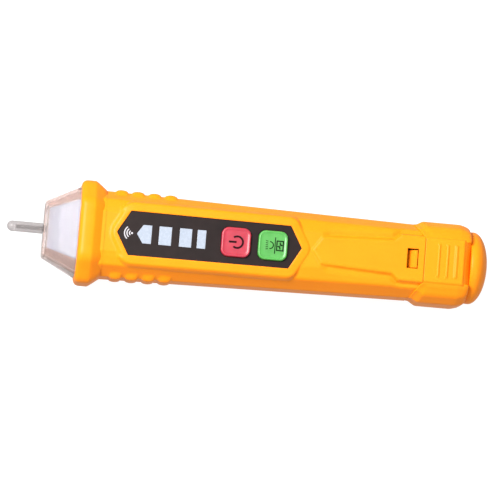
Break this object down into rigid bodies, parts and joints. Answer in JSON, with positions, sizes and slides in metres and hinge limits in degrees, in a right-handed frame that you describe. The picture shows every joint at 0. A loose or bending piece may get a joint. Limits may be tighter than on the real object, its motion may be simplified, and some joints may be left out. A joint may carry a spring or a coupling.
{
  "type": "non contact voltage tester",
  "caption": "Pen-shaped non contact voltage tester: clear nose with sensing probe, keypad with level windows and push buttons, pull-off battery tail with latch, and a pocket clip.",
  "frame": {"origin": "on the rest plane, under the middle of the tester's box, with the tester lying on its back", "axes": "+X from the probe tip to the tail, +Z out of the keypad, +Y across the handle"},
  "size_m": [0.16, 0.0342, 0.0272],
  "materials": {
    "amber_abs": "satin moulded",
    "clear_pc": "polished clear polycarbonate",
    "frosted_white": "frosted translucent",
    "panel_film": "satin printed film",
    "window_film": "pale translucent",
    "red_silicone": "satin translucent red",
    "green_silicone": "satin translucent green",
    "nickel": "nickel plated",
    "steel": "zinc plated",
    "board": "solder mask",
    "black_plastic": "moulded",
    "led_clear": "clear epoxy",
    "led_red": "tinted epoxy",
    "cell_jacket": "printed foil jacket",
    "red_insulation": "PVC",
    "black_insulation": "PVC"
  },
  "bodies": {
    "handle": {"upper_shell": "amber_abs", "lower_shell": "amber_abs", "nose_collar": "amber_abs", "nose_lens": "clear_pc", "probe_tip": "clear_pc", "light_diffuser": "frosted_white", "antenna_rod": "nickel", "panel_overlay": "panel_film", "level_windows": "window_film", "shell_screws": "steel", "circuit_board": "board", "torch_led": "led_clear", "alarm_leds": "led_red", "level_leds": "led_clear", "controller_chip": "black_plastic", "board_components": "black_plastic", "buzzer": "black_plastic", "power_switch": "black_plastic", "mode_switch": "black_plastic", "contact_plate": "nickel", "contact_spring": "nickel", "red_wire": "red_insulation", "black_wire": "black_insulation"},
    "power_key": {"power_button": "red_silicone", "power_switch_plunger": "black_plastic"},
    "mode_key": {"mode_button": "green_silicone", "mode_switch_plunger": "black_plastic"},
    "tail": {"tail_cap": "amber_abs", "tail_dome": "amber_abs", "battery_tray": "black_plastic", "bridge_contact": "nickel", "battery_1": "cell_jacket", "battery_2": "cell_jacket"},
    "latch": {"latch_tongue": "amber_abs"},
    "clip": {"pocket_clip": "amber_abs"}
  },
  "joints": [
    {"name": "power_press", "type": "slide", "parent": "handle", "child": "power_key", "axis": [0, 0, -1], "range_m": [0, 0.0005], "stiffness_N_per_m": 900},
    {"name": "mode_press", "type": "slide", "parent": "handle", "child": "mode_key", "axis": [0, 0, -1], "range_m": [0, 0.0005], "stiffness_N_per_m": 900},
    {"name": "tail_pull", "type": "slide", "parent": "handle", "child": "tail", "axis": [1, 0, 0], "range_m": [0, 0.05], "deforming": ["latch_tongue"]},
    {"name": "latch_press", "type": "hinge", "parent": "tail", "child": "latch", "pos_m": [0.069, 0, 0.0225], "axis": [0, -1, 0], "range_deg": [0, 7], "stiffness_Nm_per_rad": 0.05},
    {"name": "clip_flex", "type": "hinge", "parent": "tail", "child": "clip", "pos_m": [0.0656, 0, 0.0015], "axis": [0, -1, 0], "range_deg": [0, 5], "stiffness_Nm_per_rad": 0.5}
  ]
}
